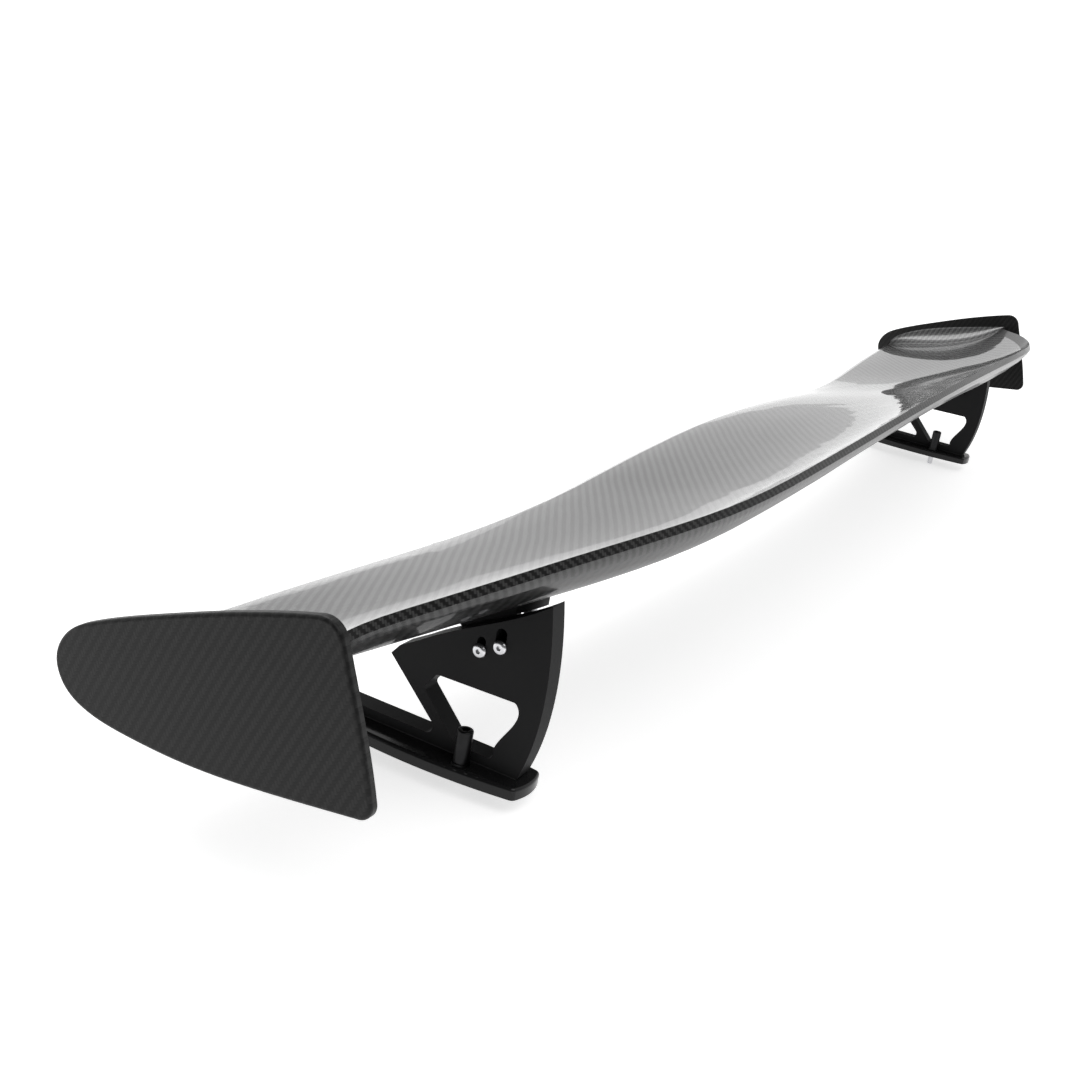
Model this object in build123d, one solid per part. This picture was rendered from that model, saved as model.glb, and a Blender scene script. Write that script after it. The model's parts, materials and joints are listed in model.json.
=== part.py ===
from build123d import *
import math
import os

os.makedirs("parts", exist_ok=True)

# Racing rear wing: moulded carbon airfoil with end plates, on two aluminium pedestals.
# Frame: X across the car (+X its right), Y forward, Z up, millimetres.
# Origin: centre of the four mounting studs, on the boot-lid plane under the feet.
# The shapes are laid out from mid-span and the front web bolts, and moved to it when written.

# ---- Driving dimensions -------------------------------------------------------------------
SPAN = 1540.0                # over the outer faces of the end plates
PLATE_T = 5.5                # end plate thickness
PLATE_EDGE = 2.2             # end plate edge radius
TIP_X = SPAN / 2 - PLATE_T   # where the airfoil meets the end plate

SKIN_T = 1.6                 # carbon skin thickness
BOND_T = 0.5                 # adhesive film between a skin and the core
LIP_T = 5.5                  # thickness of the blunt trailing edge
THICKNESS = 0.085            # airfoil thickness over chord
CAMBER = 0.3624              # scale of the camber formula
NOSE_END = 0.05              # chord fraction where the nose strip ends
TAIL_START = 0.955           # chord fraction where the tail strip begins
EDGE_GAP = 0.004             # chord fraction left for glue between the cores and the strips
WEB_AT = 0.34                # chord fraction of the shear web
SHEAR_WEB_T = 6.0            # shear web thickness along the chord
RIB_T = 8.0                  # closing rib inside each tip

# |X|, then the leading edge's Y and Z, then the trailing edge's top Y and Z
STATIONS = [
    (0.0, 105.0, 100.0, -115.0, 196.0),
    (120.0, 105.0, 97.1, -114.0, 194.3),
    (200.0, 105.0, 92.8, -112.5, 192.0),
    (260.0, 105.3, 88.4, -111.5, 190.0),
    (320.0, 106.8, 84.6, -110.0, 188.0),
    (400.0, 111.0, 81.8, -106.0, 184.0),
    (480.0, 117.2, 81.6, -94.0, 178.0),
    (560.0, 123.9, 82.8, -72.0, 171.0),
    (640.0, 130.2, 83.7, -45.0, 161.5),
    (700.0, 134.6, 84.0, -24.0, 154.0),
    (TIP_X, 139.2, 84.0, -14.0, 147.5),
]

FILLET_R = 22.0              # moulded radius between the airfoil's top and the end plate

PEDESTAL_X = 570.4           # mid-plane of each pedestal web
WEB_T = 14.6                 # pedestal web and rail thickness
FOOT_T = 8.0                 # foot plate thickness
GASKET_T = 1.0               # rubber between foot plate and rail
RAIL_BOTTOM = FOOT_T + GASKET_T
RAIL_TOP = 15.0
RAIL_FRONT = 112.0
PIVOT = (0.0, 81.5)          # front web bolt, Y and Z
CLAMP = (-13.3, 88.3)        # rear web bolt, Y and Z

HEIGHT_TRAVEL = 6.0          # how far the bolts rise in the web slots
TILT_TRAVEL = 10.0           # degrees of incidence above the lowest setting

M5_R = 2.5
M5_HEAD_R = 4.75
M5_HEAD_H = 2.75
M6_R = 3.0
CAP_NUT_R = 5.15
HINGE_GAP = 0.05             # radial gap of the pivot bolt in the bracket
SLOT_GAP = 0.5               # gap round a bolt in its web slot

TONGUE_T = 5.0               # bracket tongue beside the web
FLANGE_T = 5.0               # bracket flange under the airfoil
FLANGE_W = 30.0
FLANGE_CORNER = 13.0
FLANGE_Y = (-24.0, 48.0)
SCREW_Y = (24.0, 7.0, -10.0)  # bracket screws along the flange

MOUNT_OFFSET = -14.1         # mounting bolts, in X from the web's mid-plane
MOUNT_Y = (-2.5, 103.0)
WASHER_T = 1.6
WASHER_R = 6.0
CAP_NUT_H = 22.1             # tall cap nut on each mounting stud
STUD_IN = 15.0               # stud length inside the cap nut
STUD_CORE_R = 2.95           # stud above the boot-lid plane
STUD_BELOW = {"left": 3.5, "right": 11.0}  # stud end below the foot plate
FOOT_SCREW_Y = (-28.0, 60.0, 96.0)
TO_ORIGIN = Pos(-MOUNT_OFFSET, -0.5 * (MOUNT_Y[0] + MOUNT_Y[1]), 0)


# ---- Airfoil geometry ---------------------------------------------------------------------
def station(x):
    """Leading and trailing edge at span position x, by smooth interpolation."""
    a = min(abs(x), TIP_X)
    rows = STATIONS
    i = max(k for k in range(len(rows) - 1) if rows[k][0] <= a)
    u = (a - rows[i][0]) / (rows[i + 1][0] - rows[i][0])
    h = rows[i + 1][0] - rows[i][0]

    def slope(k, c):
        if k == 0:
            return 0.0
        if k == len(rows) - 1:
            return (rows[k][c] - rows[k - 1][c]) / (rows[k][0] - rows[k - 1][0])
        return (rows[k + 1][c] - rows[k - 1][c]) / (rows[k + 1][0] - rows[k - 1][0])

    def value(c):
        p0, p1 = rows[i][c], rows[i + 1][c]
        m0, m1 = slope(i, c) * h, slope(i + 1, c) * h
        return (
            (2 * u**3 - 3 * u**2 + 1) * p0 + (u**3 - 2 * u**2 + u) * m0
            + (3 * u**2 - 2 * u**3) * p1 + (u**3 - u**2) * m1
        )

    return value(1), value(2), value(3), value(4)


def chord_length(x):
    le_y, le_z, te_y, te_z = station(x)
    return math.hypot(te_y - le_y, te_z - le_z)


def half_thickness(x, s):
    body = 0.2969 * math.sqrt(s) - 0.126 * s - 0.3516 * s**2 + 0.2843 * s**3 - 0.1036 * s**4
    return 0.5 * (10 * THICKNESS * body * chord_length(x) + LIP_T * s)


def camber(x, s):
    return -CAMBER * s**1.2 * (1 - s) ** 0.8 * chord_length(x) - 0.5 * LIP_T * s


def surface_point(x, s, side, inset=0.0):
    """Point on the airfoil at chord fraction s; side is 1 on top, -1 underneath."""
    le_y, le_z, te_y, te_z = station(x)
    c = chord_length(x)
    along_y, along_z = (te_y - le_y) / c, (te_z - le_z) / c
    n = camber(x, s) + side * (half_thickness(x, s) - inset)
    return Vector(x, le_y + along_y * s * c + along_z * n, le_z + along_z * s * c - along_y * n)


def fractions(s_from, s_to, count):
    """Chord fractions that crowd towards the nose, where the curve is tight."""
    a, b = math.sqrt(s_from), math.sqrt(s_to)
    return [(a + (b - a) * k / (count - 1)) ** 2 for k in range(count)]


def band_wire(x, s_from, s_to, top, bottom, count=13):
    """Closed outline at x between two offset curves, each given as (side, inset)."""
    cuts = fractions(s_from, s_to, count)
    upper = Spline(*[surface_point(x, s, *top) for s in cuts])
    lower = Spline(*[surface_point(x, s, *bottom) for s in cuts])
    front = Line(upper @ 0, lower @ 0)
    rear = Line(upper @ 1, lower @ 1)
    return Wire([upper.edge(), rear.edge(), lower.edge(), front.edge()])


def nose_wire(x):
    """Closed outline of the solid nose strip."""
    cuts = fractions(0.0, NOSE_END, 6)
    points = [surface_point(x, s, 1) for s in reversed(cuts)]
    points += [surface_point(x, s, -1) for s in cuts[1:]]
    curve = Spline(*points)
    return Wire([curve.edge(), Line(curve @ 1, curve @ 0).edge()])


def span_cuts(x_from, x_to):
    inner = [s * row[0] for row in STATIONS for s in (-1, 1)]
    inner = sorted({v for v in inner if x_from + 1 < v < x_to - 1})
    return [x_from] + inner + [x_to]


def span_loft(x_from, x_to, wire_at):
    return Solid.make_loft([wire_at(x) for x in span_cuts(x_from, x_to)])


def span_piece(x_from, x_to, wire_at):
    """Length of a full-span loft, so that it runs parallel to the skins."""
    room = Pos(0.5 * (x_from + x_to), 0, 0) * Box(x_to - x_from, 1000, 1000)
    return span_loft(-TIP_X, TIP_X, wire_at) & room


def fraction_at(x, y):
    """Chord fraction of the underside point that lies at Y = y."""
    lo, hi = 0.05, 0.98
    for _ in range(40):
        mid = 0.5 * (lo + hi)
        if surface_point(x, mid, -1).Y > y:
            lo = mid
        else:
            hi = mid
    return lo


# ---- Helpers ------------------------------------------------------------------------------
def cylinder_x(x_from, x_to, y, z, radius):
    plane = Plane(origin=(min(x_from, x_to), y, z), x_dir=(0, 1, 0), z_dir=(1, 0, 0))
    return extrude(plane * Circle(radius), amount=abs(x_to - x_from))


def cylinder_z(x, y, z_from, z_to, radius):
    return extrude(Plane(origin=(x, y, z_from)) * Circle(radius), amount=z_to - z_from)


def prism_x(outline, x_from, x_to):
    """Solid between two X planes from a closed list of edges in (Y, Z)."""
    plane = Plane(origin=(min(x_from, x_to), 0, 0), x_dir=(0, 1, 0), z_dir=(1, 0, 0))
    return extrude(plane * make_face(outline), amount=abs(x_to - x_from))


def polygon(points):
    return Polyline(*points, close=True)


def slot_x(x_from, x_to, y, z_low, z_high, radius):
    """Upright slot through X between two end centres."""
    ends = cylinder_x(x_from, x_to, y, z_low, radius) + cylinder_x(x_from, x_to, y, z_high, radius)
    box = [(y - radius, z_low), (y + radius, z_low), (y + radius, z_high), (y - radius, z_high)]
    return ends + prism_x(polygon(box), x_from, x_to)


def hex_prism(plane, across_flats, height):
    return extrude(plane * RegularPolygon(across_flats / math.sqrt(3), 6), amount=height)


def write(shape, name):
    placed = TO_ORIGIN * shape
    placed.label = name
    export_step(placed, f"parts/{name}.step")


def write_group(shapes, name):
    write(Compound(list(shapes)), name)


# ---- Airfoil ------------------------------------------------------------------------------
def airfoil_parts():
    rib_x = TIP_X - RIB_T
    deep = SKIN_T + BOND_T

    def web_end(x):
        return WEB_AT + SHEAR_WEB_T / chord_length(x)

    def core_band(x, s_from, s_to):
        return band_wire(x, s_from, s_to, (1, deep), (-1, deep))

    parts = {
        "upper_skin": span_loft(-TIP_X, TIP_X, lambda x: band_wire(
            x, NOSE_END, TAIL_START, (1, 0.0), (1, SKIN_T))),
        "lower_skin": span_loft(-TIP_X, TIP_X, lambda x: band_wire(
            x, NOSE_END, TAIL_START, (-1, 0.0), (-1, SKIN_T))),
        "leading_edge_strip": span_loft(-TIP_X, TIP_X, nose_wire),
        "trailing_edge_strip": span_loft(-TIP_X, TIP_X, lambda x: band_wire(
            x, TAIL_START, 1.0, (1, 0.0), (-1, 0.0), 4)),
        "front_core": span_piece(-rib_x, rib_x, lambda x: core_band(
            x, NOSE_END + EDGE_GAP, WEB_AT)),
        "shear_web": span_piece(-rib_x, rib_x, lambda x: core_band(
            x, WEB_AT, web_end(x))),
        "rear_core": span_piece(-rib_x, rib_x, lambda x: core_band(
            x, web_end(x), TAIL_START - EDGE_GAP)),
    }
    for side, sign in (("left", -1), ("right", 1)):
        ends = sorted((sign * rib_x, sign * TIP_X))
        parts[f"{side}_tip_rib"] = span_piece(*ends, lambda x: core_band(
            x, NOSE_END + EDGE_GAP, TAIL_START - EDGE_GAP))
    return parts


def end_fillet(sign):
    """Concave moulded radius that carries the upper surface up into the end plate.

    Its rise is full at mid-chord and tapers towards the nose and the trailing edge.
    """
    steps = 6
    s_from, s_to = 0.04, 0.985
    cuts = fractions(s_from, s_to, 10)
    wires = []
    for k in range(steps):
        angle = math.radians(12 + 78 * k / (steps - 1))
        x = sign * (TIP_X - FILLET_R * (1 - math.sin(angle)))
        rise = FILLET_R * (1 - math.cos(angle))
        lower = Spline(*[surface_point(x, s, 1) for s in cuts])
        lifts = [0.15 + 0.85 * math.sin(math.pi * (s - s_from) / (s_to - s_from)) ** 0.7 for s in cuts[1:-1]]
        lifts = [0.15] + lifts + [0.15]
        upper = Spline(*[surface_point(x, s, 1, -rise * lift) for s, lift in zip(cuts, lifts)])
        front = Line(upper @ 0, lower @ 0)
        rear = Line(upper @ 1, lower @ 1)
        wires.append(Wire([upper.edge(), rear.edge(), lower.edge(), front.edge()]))
    return Solid.make_loft(wires)


# ---- End plates ---------------------------------------------------------------------------
def end_plate(sign):
    nose = Spline(
        (-24.5, 167.2), (-8, 163.2), (18, 155.3), (44, 146.3), (79, 132.8), (107, 121.4), (128, 111.8),
        (144, 101), (151, 84), (143.5, 68.5), (127, 60), (98, 56.2), (60, 55.8), (15, 59.8), (-28, 66),
        (-58, 70.6),
    )
    tail = Spline((-58, 70.6), (-48.5, 103), (-33.5, 143), (-24.5, 167.2))
    x_out = sign * SPAN / 2
    plate = prism_x([nose, tail], x_out - sign * PLATE_T, x_out)
    corners = plate.edges().filter_by(Axis.X).sort_by(Axis.Z)
    plate = fillet(corners[0], 8.0)
    plate = fillet(plate.edges().filter_by(Axis.X).sort_by(Axis.Z)[-1], 13.0)
    rims = [e for e in plate.edges() if abs(abs(e.center().X) - SPAN / 2) < 0.01]
    return fillet(rims, PLATE_EDGE)


# ---- Pedestals ----------------------------------------------------------------------------
def pedestal(sign):
    x_in = sign * PEDESTAL_X - WEB_T / 2
    x_out = sign * PEDESTAL_X + WEB_T / 2
    rear = Spline((-42.5, 124.4), (-47, 92), (-48, 65), (-44.4, 30), (-38.5, RAIL_BOTTOM))
    body = [
        rear,
        Line((-38.5, RAIL_BOTTOM), (RAIL_FRONT, RAIL_BOTTOM)),
        Line((RAIL_FRONT, RAIL_BOTTOM), (RAIL_FRONT, RAIL_TOP)),
        Line((RAIL_FRONT, RAIL_TOP), (17, RAIL_TOP)),
        Line((17, RAIL_TOP), (61.5, 58)),
        Line((61.5, 58), (56, 65)),
        Line((56, 65), (43, 73)),
        Spline((43, 73), (9.6, 93), (-23, 111), (-42.5, 124.4)),
    ]
    web = prism_x(body, x_in, x_out)
    window = [
        Line((27, 55.5), (-29, 57)),
        Spline((-29, 57), (-32, 53), (-30, 42), (-22, RAIL_TOP)),
        Line((-22, RAIL_TOP), (7, RAIL_TOP)),
        Line((7, RAIL_TOP), (35, 44)),
        Line((35, 44), (27, 55.5)),
    ]
    corners = ((27, 55.5), (-29, 57), (-22, RAIL_TOP), (7, RAIL_TOP), (35, 44))
    web -= prism_x(window, x_in - 1, x_out + 1)
    corner = [e for e in web.edges().filter_by(Axis.X) if abs(e.center().Y - 17) < 0.5
              and abs(e.center().Z - RAIL_TOP) < 0.5]
    web = fillet(corner, 5.0)
    inner = [e for e in web.edges().filter_by(Axis.X) if any(
        abs(e.center().Y - y) < 0.6 and abs(e.center().Z - z) < 0.6 for y, z in corners)]
    web = fillet(inner, 3.0)
    arc_y = CLAMP[0] + 0.5 * clamp_swing()[0]
    web -= slot_x(x_in - 1, x_out + 1, PIVOT[0], PIVOT[1], PIVOT[1] + HEIGHT_TRAVEL, M5_R + SLOT_GAP)
    web -= slot_x(
        x_in - 1, x_out + 1, arc_y, CLAMP[1], CLAMP[1] + HEIGHT_TRAVEL + clamp_swing()[1],
        M5_R + SLOT_GAP + 0.5 * clamp_swing()[0],
    )
    for y in FOOT_SCREW_Y:
        web -= cylinder_z(sign * PEDESTAL_X, y, RAIL_BOTTOM - 1, RAIL_TOP - 1.2, M5_R + 0.02)
    return web


def clamp_swing():
    """How far the clamp bolt moves in Y and Z when the wing tilts over its full range."""
    dy, dz = CLAMP[0] - PIVOT[0], CLAMP[1] - PIVOT[1]
    a = math.radians(TILT_TRAVEL)
    return (
        dy * math.cos(a) + dz * math.sin(a) - dy,
        -dy * math.sin(a) + dz * math.cos(a) - dz,
    )


def foot_outline(sign, grow=0.0):
    """Plan of the foot plate; both feet are the same part, so neither is mirrored."""
    x0 = sign * PEDESTAL_X
    edges = [
        ThreePointArc((x0 - 18, -43), (x0 - 25.2 - grow, 25), (x0 - 17, 114)),
        ThreePointArc((x0 - 17, 114), (x0, 119), (x0 + 13, 114)),
        ThreePointArc((x0 + 13, 114), (x0 + 20.4 + grow, 35), (x0 + 15, -43)),
        ThreePointArc((x0 + 15, -43), (x0, -46.5), (x0 - 18, -43)),
    ]
    return make_face(edges)


def foot_parts(side, sign):
    x0 = sign * PEDESTAL_X
    mount_x = x0 + MOUNT_OFFSET
    plate = extrude(foot_outline(sign), amount=FOOT_T)
    plate = fillet(plate.edges().filter_by(Axis.Z), 4.0)
    plate = fillet(plate.faces().sort_by(Axis.Z)[-1].edges(), 2.4)
    gasket = Pos(x0, 0.5 * (RAIL_FRONT - 37.5), FOOT_T + GASKET_T / 2) * Box(
        WEB_T, RAIL_FRONT + 37.5, GASKET_T)
    screws = []
    for y in MOUNT_Y:
        plate -= cylinder_z(mount_x, y, -1, FOOT_T + 1, M6_R + 0.3)
    for y in FOOT_SCREW_Y:
        shank = cylinder_z(x0, y, 0, 13.0, M5_R)
        cone = Pos(x0, y, 1.4) * Cone(4.6, M5_R, 2.8)
        drive = hex_prism(Plane(origin=(x0, y, -1)), 3.0, 2.8)
        plate -= cylinder_z(x0, y, -1, FOOT_T + 1, M5_R + 0.02)
        plate -= Pos(x0, y, 1.4) * Cone(4.62, M5_R + 0.02, 2.8)
        gasket -= cylinder_z(x0, y, 0, 20, M5_R + 0.02)
        screws.append((shank + cone - drive).solid())
    write(plate.solid(), f"{side}_foot_plate")
    write(gasket.solid(), f"{side}_foot_gasket")
    write_group(screws, f"{side}_foot_screws")


def mounting_parts():
    studs, nuts, washers = [], [], []
    low = FOOT_T + WASHER_T
    top = low + CAP_NUT_H
    for side, sign in (("left", -1), ("right", 1)):
        x = sign * PEDESTAL_X + MOUNT_OFFSET
        for y in MOUNT_Y:
            stud = cylinder_z(x, y, -STUD_BELOW[side], 0, M6_R)
            stud += cylinder_z(x, y, 0, low + STUD_IN, STUD_CORE_R)
            studs.append(chamfer(stud.edges().sort_by(Axis.Z)[0], 0.7).solid())
            nut = cylinder_z(x, y, low, top, CAP_NUT_R)
            nut = fillet(nut.edges().sort_by(Axis.Z)[-1], 1.2)
            nut -= cylinder_z(x, y, low - 1, low + STUD_IN + 0.5, STUD_CORE_R + 0.02)
            nut -= hex_prism(Plane(origin=(x, y, top - 4.0)), 5.0, 5.0)
            nuts.append(nut.solid())
            ring = cylinder_z(x, y, FOOT_T, low, WASHER_R)
            washers.append((ring - cylinder_z(x, y, FOOT_T - 1, low + 1, M6_R + 0.2)).solid())
    write_group(studs, "mounting_studs")
    write_group(nuts, "mounting_cap_nuts")
    write_group(washers, "mounting_washers")


# ---- Web bolts ----------------------------------------------------------------------------
def button_bolt(sign, y, z):
    """Button-head bolt from the outboard face of a web inwards."""
    face = sign * (PEDESTAL_X + WEB_T / 2)
    end = sign * (PEDESTAL_X - WEB_T / 2 - TONGUE_T - 1.0 - 5.0 - 1.5)
    bolt = cylinder_x(face, end, y, z, M5_R)
    head = cylinder_x(face, face + sign * M5_HEAD_H, y, z, M5_HEAD_R)
    rim = [e for e in head.edges().filter_by(GeomType.CIRCLE) if abs(e.center().X) > abs(face) + 1]
    head = fillet(rim, 2.2)
    socket_plane = Plane(origin=(face + sign * 1.2, y, z), x_dir=(0, 1, 0), z_dir=(sign, 0, 0))
    return (bolt + head - hex_prism(socket_plane, 3.0, 3.0)).solid()


def web_washer(sign, y, z):
    x = sign * (PEDESTAL_X - WEB_T / 2 - TONGUE_T)
    ring = cylinder_x(x, x - sign * 1.0, y, z, 5.0)
    return (ring - cylinder_x(x + sign, x - sign * 3, y, z, M5_R + 0.15)).solid()


def web_nut(sign, y, z):
    x = sign * (PEDESTAL_X - WEB_T / 2 - TONGUE_T - 1.0)
    plane = Plane(origin=(x, y, z), x_dir=(0, 1, 0), z_dir=(-sign, 0, 0))
    nut = hex_prism(plane, 8.0, 5.0)
    return (nut - cylinder_x(x + sign, x - sign * 7, y, z, M5_R + 0.01)).solid()


def web_bolt_sets():
    for name, (y, z) in (("pivot", PIVOT), ("clamp", CLAMP)):
        write_group([button_bolt(s, y, z) for s in (-1, 1)], f"{name}_bolts")
        write_group([web_washer(s, y, z) for s in (-1, 1)], f"{name}_washers")
        write_group([web_nut(s, y, z) for s in (-1, 1)], f"{name}_nuts")


# ---- Brackets -----------------------------------------------------------------------------
def bracket_screw_frame(sign, y):
    """Plane on the underside at a screw, with its Z axis pointing into the airfoil."""
    x = sign * (PEDESTAL_X - WEB_T / 2 - 0.5 * (FLANGE_W + TONGUE_T))
    s = fraction_at(x, y)
    here = surface_point(x, s, -1)
    ahead = surface_point(x, s - 0.02, -1)
    tangent = (ahead - here).normalized()
    normal = Vector(0, -tangent.Z, tangent.Y)
    if normal.Z < 0:
        normal = normal * -1
    return Plane(origin=here, x_dir=(1, 0, 0), z_dir=normal)


def bracket(sign):
    x_web = sign * (PEDESTAL_X - WEB_T / 2)
    x_far = x_web - sign * FLANGE_W
    s_front = fraction_at(x_web, FLANGE_Y[1])
    s_rear = fraction_at(x_web, FLANGE_Y[0])
    ends = sorted((x_web, x_far))
    middle = 0.5 * (ends[0] + ends[1])
    wires = [band_wire(x, s_front, s_rear, (-1, -0.1), (-1, -FLANGE_T), 9) for x in (ends[0], middle, ends[1])]
    flange = Solid.make_loft(wires)
    plan = Pos(middle, 0.5 * (FLANGE_Y[0] + FLANGE_Y[1])) * RectangleRounded(
        FLANGE_W, FLANGE_Y[1] - FLANGE_Y[0] - 1.0, FLANGE_CORNER)
    flange = flange & extrude(plan, amount=220)
    cuts = [s_front + (s_rear - s_front) * k / 10 for k in range(2, 9)]
    x_mid = x_web - sign * TONGUE_T / 2
    top = [surface_point(x_mid, s, -1, -FLANGE_T / 2) for s in cuts]
    top = [(p.Y, p.Z) for p in top]
    outline = [
        Spline(*top),
        Line(top[-1], (-21.5, 84)),
        Line((-21.5, 84), (-12, 77)),
        Line((-12, 77), (-2, 73)),
        Line((-2, 73), (6, 75)),
        Line((6, 75), top[0]),
    ]
    tongue = prism_x(outline, x_web, x_web - sign * TONGUE_T)
    part = flange + tongue
    part -= cylinder_x(x_web + sign, x_web - sign * (TONGUE_T + 1), *PIVOT, M5_R + HINGE_GAP)
    part -= cylinder_x(x_web + sign, x_web - sign * (TONGUE_T + 1), *CLAMP, M5_R + 0.02)
    for y in SCREW_Y:
        frame = bracket_screw_frame(sign, y)
        part -= frame * Pos(0, 0, -4) * Cylinder(M5_R + 0.02, 20)
        part -= frame * Pos(0, 0, -FLANGE_T - 4) * Cylinder(M5_HEAD_R + 0.3, 8)
    return part


def bracket_fixings(sign):
    screws, inserts = [], []
    for y in SCREW_Y:
        frame = bracket_screw_frame(sign, y)
        base = -FLANGE_T
        shank = frame * Pos(0, 0, 0.5 * (base + 9)) * Cylinder(M5_R, 9 - base)
        head = frame * Pos(0, 0, base - 1.4) * Cylinder(M5_HEAD_R, 2.8)
        drive = frame * Pos(0, 0, base - 2.2) * Cylinder(1.6, 2.0)
        screws.append((shank + head - drive).solid())
        bush = frame * Pos(0, 0, 0.5 * (2.4 + 10)) * Cylinder(5.0, 7.6)
        inserts.append((bush - frame * Cylinder(M5_R + 0.01, 60)).solid())
    return screws, inserts


# ---- Build --------------------------------------------------------------------------------
foil = airfoil_parts()
for side, sign in (("left", -1), ("right", 1)):
    write(pedestal(sign).solid(), f"{side}_pedestal")
    foot_parts(side, sign)
    screws, inserts = bracket_fixings(sign)
    write(bracket(sign).solid(), f"{side}_bracket")
    write_group(screws, f"{side}_bracket_screws")
    write_group(inserts, f"{side}_inserts")
    for y in SCREW_Y:
        frame = bracket_screw_frame(sign, y)
        pocket = frame * Pos(0, 0, 0.5 * (2.3 + 10.1)) * Cylinder(5.0, 7.8)
        bore = frame * Cylinder(M5_R + 0.02, 24)
        foil["rear_core"] = foil["rear_core"] - pocket - bore
        foil["lower_skin"] = foil["lower_skin"] - bore - pocket
    write(end_plate(sign).solid(), f"{side}_end_plate")
    write(end_fillet(sign), f"{side}_end_fillet")
for name, shape in foil.items():
    write(shape.solid(), name)
mounting_parts()
web_bolt_sets()
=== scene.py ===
import json
import math

import bpy
from mathutils import Matrix, Vector


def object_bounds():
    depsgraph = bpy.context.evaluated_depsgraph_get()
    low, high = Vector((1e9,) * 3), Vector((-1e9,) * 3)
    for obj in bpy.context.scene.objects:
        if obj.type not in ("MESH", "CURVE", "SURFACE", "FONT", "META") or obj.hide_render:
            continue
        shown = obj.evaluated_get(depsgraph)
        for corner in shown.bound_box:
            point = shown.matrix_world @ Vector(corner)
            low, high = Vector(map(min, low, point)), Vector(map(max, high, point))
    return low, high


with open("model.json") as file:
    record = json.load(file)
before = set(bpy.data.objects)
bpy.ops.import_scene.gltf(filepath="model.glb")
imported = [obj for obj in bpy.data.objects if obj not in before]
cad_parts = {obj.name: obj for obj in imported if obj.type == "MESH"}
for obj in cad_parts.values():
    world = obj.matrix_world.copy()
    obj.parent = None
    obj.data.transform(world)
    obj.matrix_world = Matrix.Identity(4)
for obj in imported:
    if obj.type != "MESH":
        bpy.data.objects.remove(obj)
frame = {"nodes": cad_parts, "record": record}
cad_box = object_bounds()

# ---- Driving values, in metres ------------------------------------------------------------
TOW = 0.0021                 # width of one carbon tow in the airfoil
PLATE_TOW = 0.0019           # in the end plates
EDGE_TOW = 0.0016            # in the trailing-edge strip
WEAVE_TILT = math.radians(26)   # the airfoil's own slope, which its weave follows
WEAVE_TURN = math.radians(18)   # the cloth lies at this angle to the span
PLATE_TILT = math.radians(20)   # the end plates' slope

CAMERA_AT = Vector((-1.2837, -0.42565, 0.4435))
CAMERA_FORWARD = Vector((0.8489, 0.4109, -0.3325))
CAMERA_UP = Vector((0.2211, 0.2953, 0.9296))
LENS = 49.14
SENSOR = 36.0

FLOOR_SIZE = 40.0
FLOOR_GREY = 0.80
FLOOR_GLOW = 0.66            # lifts the floor to the backdrop's white
BACKDROP = 1.05              # what the camera sees beyond the floor
BRIGHT_SIDE = Vector((0.80, 0.45, 0.40)).normalized()   # the studio is darker behind the camera
STUDIO = {"From Min": -0.55, "From Max": 0.45, "To Min": 0.20, "To Max": 0.80}   # dark to bright side


# ---- Node helpers -------------------------------------------------------------------------
class Nodes:
    """A material's node tree with short calls for the nodes used here."""

    def __init__(self, name):
        self.material = bpy.data.materials.new(name)
        self.material.use_nodes = True
        self.tree = self.material.node_tree
        self.tree.nodes.clear()
        self.out = self.new("ShaderNodeOutputMaterial")
        self.shader = self.new("ShaderNodeBsdfPrincipled")
        self.link(self.shader.outputs[0], self.out.inputs["Surface"])

    def new(self, kind, **settings):
        node = self.tree.nodes.new(kind)
        for key, value in settings.items():
            setattr(node, key, value)
        return node

    def link(self, a, b):
        self.tree.links.new(a, b)

    def put(self, socket, value):
        if isinstance(value, bpy.types.NodeSocket):
            self.link(value, socket)
        else:
            socket.default_value = value

    def math(self, operation, a, b=0.0, clamp=False):
        node = self.new("ShaderNodeMath", operation=operation, use_clamp=clamp)
        self.put(node.inputs[0], a)
        self.put(node.inputs[1], b)
        return node.outputs[0]

    def mix(self, factor, a, b):
        """Number mix: a where factor is 0, b where it is 1."""
        node = self.new("ShaderNodeMix", data_type="FLOAT")
        self.put(node.inputs["Factor"], factor)
        self.put(node.inputs["A"], a)
        self.put(node.inputs["B"], b)
        return node.outputs["Result"]

    def mix_colour(self, factor, a, b):
        node = self.new("ShaderNodeMix", data_type="RGBA")
        self.put(node.inputs[0], factor)
        self.put(node.inputs[6], a)
        self.put(node.inputs[7], b)
        return node.outputs[2]

    def place(self, rotation=(0.0, 0.0, 0.0), scale=(1.0, 1.0, 1.0)):
        """Object coordinates, turned and then scaled."""
        coords = self.new("ShaderNodeTexCoord")
        turn = self.new("ShaderNodeMapping")
        turn.inputs["Rotation"].default_value = rotation
        self.link(coords.outputs["Object"], turn.inputs["Vector"])
        size = self.new("ShaderNodeMapping")
        size.inputs["Scale"].default_value = scale
        self.link(turn.outputs["Vector"], size.inputs["Vector"])
        return size.outputs["Vector"]

    def noise(self, vector, scale, detail=3.0, roughness=0.5):
        node = self.new("ShaderNodeTexNoise")
        self.link(vector, node.inputs["Vector"])
        node.inputs["Scale"].default_value = scale
        node.inputs["Detail"].default_value = detail
        node.inputs["Roughness"].default_value = roughness
        return node.outputs["Fac"]

    def bump(self, height, distance, strength):
        node = self.new("ShaderNodeBump")
        node.inputs["Strength"].default_value = strength
        node.inputs["Distance"].default_value = distance
        self.link(height, node.inputs["Height"])
        return node.outputs["Normal"]

    def set(self, **values):
        for name, value in values.items():
            self.put(self.shader.inputs[name.replace("_", " ")], value)


def grey(level):
    """A neutral grey with a trace of blue."""
    return (level, level, level * 1.03, 1.0)


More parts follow.
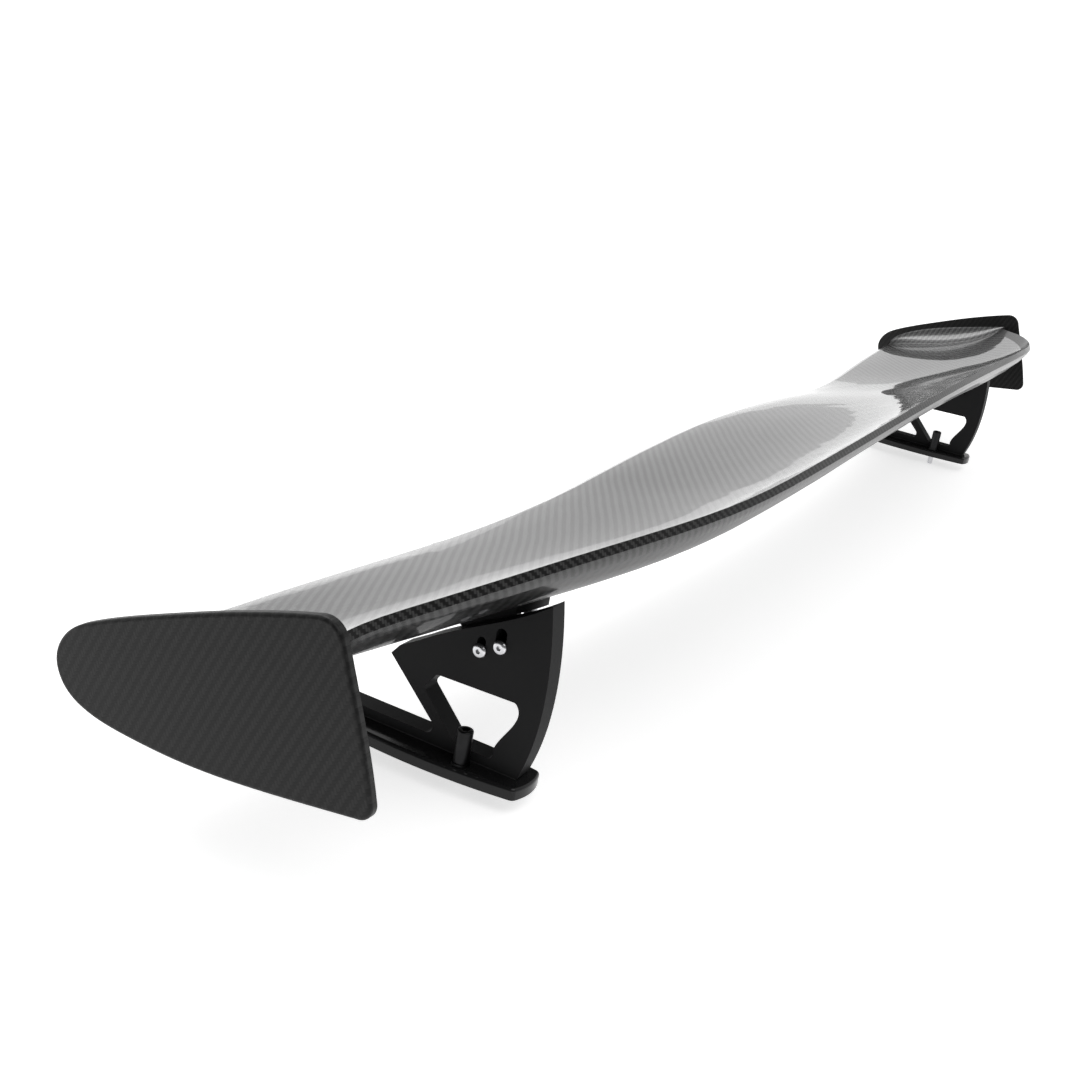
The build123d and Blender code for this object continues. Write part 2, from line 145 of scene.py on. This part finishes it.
# ---- Carbon fibre -------------------------------------------------------------------------
def twill(n, across, along, tow, lean):
    """2 x 2 twill: which tow lies on top, the tow's height and its fibre streaks.

    lean is ADD or SUBTRACT, and sets which way the diagonal runs.
    """
    u = n.math("DIVIDE", across, tow)
    v = n.math("DIVIDE", along, tow)
    column = n.math("FLOOR", u)
    row = n.math("FLOOR", v)
    step = n.math("FLOORED_MODULO", n.math(lean, column, row), 4.0)
    warp = n.math("LESS_THAN", step, 2.0)
    in_u = n.math("FRACT", u)
    in_v = n.math("FRACT", v)

    def ridge(t):
        return n.math("SQRT", n.math("SINE", n.math("MULTIPLY", t, math.pi), clamp=True))

    crown = n.mix(warp, ridge(in_v), ridge(in_u))
    fine = n.new("ShaderNodeCombineXYZ")
    n.link(n.mix(warp, n.math("MULTIPLY", u, 0.35), n.math("MULTIPLY", u, 9.0)), fine.inputs[0])
    n.link(n.mix(warp, n.math("MULTIPLY", v, 9.0), n.math("MULTIPLY", v, 0.35)), fine.inputs[1])
    streaks = n.noise(fine.outputs[0], 1.0, 2.0)
    return warp, crown, streaks


def carbon(name, turn, flat_axis, lean, tow, dark, light, specular, coat, coat_roughness,
           roughness=0.34, haze=3.0):
    """Clear-coated twill. flat_axis is the axis that the surface roughly faces.

    dark and light are the greys of the two tow directions, and haze is the scale of the coat's ripple.
    """
    n = Nodes(name)
    where = n.place(rotation=turn)
    split = n.new("ShaderNodeSeparateXYZ")
    n.link(where, split.inputs[0])
    first, second = {"Z": (0, 1), "X": (1, 2), "Y": (0, 2)}[flat_axis]
    across, along = split.outputs[first], split.outputs[second]
    drift = n.place()
    across = n.math("ADD", across, n.math("MULTIPLY", n.noise(drift, 11.0, 1.0), 0.0035))
    along = n.math("ADD", along, n.math("MULTIPLY", n.noise(drift, 8.0, 1.0), 0.0030))
    warp, crown, streaks = twill(n, across, along, tow, lean)
    patch = n.noise(where, 9.0, 2.0)
    level = n.mix(warp, dark, light)
    level = n.math("MULTIPLY", level, n.mix(streaks, 0.55, 1.45))
    level = n.math("MULTIPLY", level, n.mix(crown, 0.35, 1.0))
    level = n.math("MULTIPLY", level, n.mix(patch, 0.85, 1.15))
    fuzz = n.noise(drift, 420.0, 3.0, 0.7)
    level = n.math("MULTIPLY", level, n.mix(fuzz, 0.30, 1.70))
    colour = n.new("ShaderNodeCombineColor")
    for k in range(3):
        n.link(level, colour.inputs[k])
    height = n.math("ADD", crown, n.math("MULTIPLY", streaks, 0.25))
    weave_normal = n.bump(height, 0.00012, 0.35)
    rough = n.mix(streaks, roughness - 0.06, roughness + 0.08)
    n.set(Base_Color=colour.outputs[0], Roughness=rough, Normal=weave_normal)
    n.set(Metallic=0.0, Specular_IOR_Level=specular, IOR=1.5)
    n.set(Coat_Weight=coat, Coat_Roughness=coat_roughness, Coat_IOR=1.5)
    coords = n.place()
    ripple = n.noise(coords, haze, 2.0)
    n.set(Coat_Normal=n.bump(ripple, 0.0004, 0.12))
    return n.material


# ---- Metals and rubber --------------------------------------------------------------------
def anodised(name):
    n = Nodes(name)
    where = n.place()
    lines = n.noise(n.place(scale=(4.0, 60.0, 900.0)), 1.0, 4.0)
    grain = n.noise(where, 900.0, 2.0)
    cloud = n.noise(where, 14.0, 3.0)
    colour = n.mix_colour(cloud, grey(0.012), grey(0.020))
    n.set(Base_Color=colour, Metallic=0.0, Specular_IOR_Level=0.07)
    n.set(Roughness=n.mix(grain, 0.45, 0.62))
    height = n.math("ADD", n.math("MULTIPLY", lines, 0.6), grain)
    n.set(Normal=n.bump(height, 0.00005, 0.30))
    return n.material


def gloss_black(name):
    n = Nodes(name)
    where = n.place()
    peel = n.noise(where, 260.0, 2.0)
    dust = n.noise(where, 40.0, 5.0)
    n.set(Base_Color=n.mix_colour(dust, grey(0.008), grey(0.015)))
    n.set(Roughness=n.mix(dust, 0.10, 0.22), Coat_Weight=0.22, Coat_Roughness=0.06)
    n.set(Specular_IOR_Level=0.15)
    n.set(Normal=n.bump(peel, 0.0002, 0.10))
    return n.material


def rubber(name):
    n = Nodes(name)
    where = n.place()
    speck = n.noise(where, 1200.0, 3.0)
    n.set(Base_Color=n.mix_colour(speck, grey(0.012), grey(0.03)))
    n.set(Roughness=n.mix(speck, 0.7, 0.9), Normal=n.bump(speck, 0.0001, 0.4))
    return n.material


def steel(name, low, high, rough):
    n = Nodes(name)
    where = n.place()
    turned = n.noise(n.place(scale=(60.0, 700.0, 700.0)), 1.0, 2.0)
    stain = n.noise(where, 120.0, 4.0)
    n.set(Base_Color=n.mix_colour(stain, grey(low), grey(high)), Metallic=1.0)
    n.set(Roughness=n.mix(stain, rough, rough + 0.12), Normal=n.bump(turned, 0.00003, 0.25))
    return n.material


def foam(name):
    n = Nodes(name)
    cells = n.new("ShaderNodeTexVoronoi")
    n.link(n.place(), cells.inputs["Vector"])
    cells.inputs["Scale"].default_value = 900.0
    tone = cells.outputs["Distance"]
    n.set(Base_Color=n.mix_colour(tone, (0.55, 0.50, 0.36, 1), (0.72, 0.68, 0.52, 1)))
    n.set(Roughness=0.9, Normal=n.bump(tone, 0.0003, 0.6))
    return n.material


MATERIALS = {
    "carbon_gloss": carbon(
        "carbon_gloss", (WEAVE_TILT, 0, WEAVE_TURN), "Z", "SUBTRACT", TOW,
        dark=0.008, light=0.072, specular=0.22, coat=0.80, coat_roughness=0.03),
    "carbon_edge": carbon(
        "carbon_edge", (0, 0, 0), "Y", "ADD", EDGE_TOW,
        dark=0.004, light=0.035, roughness=0.30, specular=0.08, coat=0.25, coat_roughness=0.05),
    "carbon_satin": carbon(
        "carbon_satin", (PLATE_TILT, 0, 0), "X", "ADD", PLATE_TOW,
        dark=0.005, light=0.013, roughness=0.42, specular=0.16, coat=0.10, coat_roughness=0.20, haze=5.0),
    "carbon_raw": carbon(
        "carbon_raw", (0, 0, 0), "Z", "ADD", TOW,
        dark=0.012, light=0.035, roughness=0.55, specular=0.4, coat=0.0, coat_roughness=0.5, haze=5.0),
    "foam": foam("foam"),
    "black_anodised": anodised("black_anodised"),
    "black_gloss": gloss_black("black_gloss"),
    "rubber": rubber("rubber"),
    "stainless": steel("stainless", 0.50, 0.72, 0.16),
    "black_steel": steel("black_steel", 0.015, 0.035, 0.30),
}

# The end fillets are glossier than the plates, and their base colour is much lighter, a painted
# highlight. The airfoil's underside is darker than its top, which is painted shade.
FILLET_CARBON_PAINTED_HIGHLIGHT = carbon(
    "carbon_gloss_side_painted_highlight", (PLATE_TILT, 0, 0), "X", "ADD", PLATE_TOW,
    # these greys are far lighter than the plates' greys: a painted highlight on the fillets
    dark=0.030, light=0.110, specular=0.8, coat=1.0, coat_roughness=0.10)
# The underside's greys are darker than the top's: painted shade on the same carbon where it faces down
UNDER_CARBON_PAINTED_SHADE = carbon(
    "carbon_gloss_under_painted_shade", (-WEAVE_TILT, 0, WEAVE_TURN), "Z", "SUBTRACT", TOW,
    dark=0.004, light=0.016, specular=0.05, coat=0.24, coat_roughness=0.05)
BY_NODE = {
    "left_end_fillet": FILLET_CARBON_PAINTED_HIGHLIGHT,
    "right_end_fillet": FILLET_CARBON_PAINTED_HIGHLIGHT,
    "lower_skin": UNDER_CARBON_PAINTED_SHADE,
}


def dress_frame():
    slots = {row["node"]: row["material_slot"] for row in frame["record"]["subparts"]}
    for name, obj in frame["nodes"].items():
        material = BY_NODE.get(name) or MATERIALS[slots[name]]
        if not obj.material_slots:
            obj.data.materials.append(material)
        for holder in obj.material_slots:
            holder.material = material


# ---- Stage --------------------------------------------------------------------------------
def plain(name, level, glow):
    material = bpy.data.materials.new(name)
    material.use_nodes = True
    shader = material.node_tree.nodes["Principled BSDF"]
    shader.inputs["Base Color"].default_value = (level, level, level, 1)
    shader.inputs["Roughness"].default_value = 0.9
    shader.inputs["Specular IOR Level"].default_value = 0.1
    shader.inputs["Emission Color"].default_value = (1, 1, 1, 1)
    shader.inputs["Emission Strength"].default_value = glow
    return material


def make_floor():
    level = cad_box[0].z
    half = FLOOR_SIZE / 2
    mesh = bpy.data.meshes.new("floor")
    corners = [(x, y, level) for x, y in ((-half, -half), (half, -half), (half, half), (-half, half))]
    mesh.from_pydata(corners, [], [(0, 1, 2, 3)])
    floor = bpy.data.objects.new("floor", mesh)
    bpy.context.scene.collection.objects.link(floor)
    floor.data.materials.append(plain("floor", FLOOR_GREY, FLOOR_GLOW))


def make_light(name, at, aim, size, power):
    data = bpy.data.lights.new(name, "AREA")
    data.shape = "RECTANGLE"
    data.size, data.size_y = size
    data.energy = power
    lamp = bpy.data.objects.new(name, data)
    bpy.context.scene.collection.objects.link(lamp)
    lamp.location = at
    lamp.rotation_mode = "QUATERNION"
    lamp.rotation_quaternion = (Vector(aim) - Vector(at)).to_track_quat("-Z", "Y")


def make_world():
    world = bpy.data.worlds.new("studio")
    world.use_nodes = True
    tree = world.node_tree
    back = tree.nodes["Background"]
    back.inputs["Color"].default_value = (1, 1, 1, 1)
    coords = tree.nodes.new("ShaderNodeTexCoord")
    facing = tree.nodes.new("ShaderNodeVectorMath")
    facing.operation = "DOT_PRODUCT"
    facing.inputs[1].default_value = BRIGHT_SIDE
    ramp = tree.nodes.new("ShaderNodeMapRange")
    ramp.interpolation_type = "SMOOTHSTEP"
    for name, value in STUDIO.items():
        ramp.inputs[name].default_value = value
    seen = tree.nodes.new("ShaderNodeLightPath")
    choose = tree.nodes.new("ShaderNodeMix")
    choose.data_type = "FLOAT"
    choose.inputs["B"].default_value = BACKDROP
    tree.links.new(coords.outputs["Generated"], facing.inputs[0])
    tree.links.new(facing.outputs["Value"], ramp.inputs["Value"])
    tree.links.new(seen.outputs["Is Camera Ray"], choose.inputs["Factor"])
    tree.links.new(ramp.outputs["Result"], choose.inputs["A"])
    tree.links.new(choose.outputs["Result"], back.inputs["Strength"])
    bpy.context.scene.world = world
    bpy.context.scene.view_settings.view_transform = "Standard"


def make_camera():
    data = bpy.data.cameras.new("camera")
    data.lens = LENS
    data.sensor_width = SENSOR
    data.clip_start, data.clip_end = 0.02, 100.0
    camera = bpy.data.objects.new("camera", data)
    bpy.context.scene.collection.objects.link(camera)
    back = -CAMERA_FORWARD.normalized()
    right = CAMERA_UP.cross(back).normalized()
    up = back.cross(right)
    turn = Matrix((right, up, back)).transposed().to_4x4()
    camera.matrix_world = Matrix.Translation(CAMERA_AT) @ turn
    bpy.context.scene.camera = camera


make_camera()
make_world()
make_floor()
dress_frame()
make_light("softbox", at=(-1.2, -1.4, 2.6), aim=(0, 0, 0.1), size=(2.6, 1.6), power=22.0)
make_light("far softbox", at=(0.1, 0.9, 1.9), aim=(0.75, 0, 0.12), size=(1.5, 1.1), power=18.0)
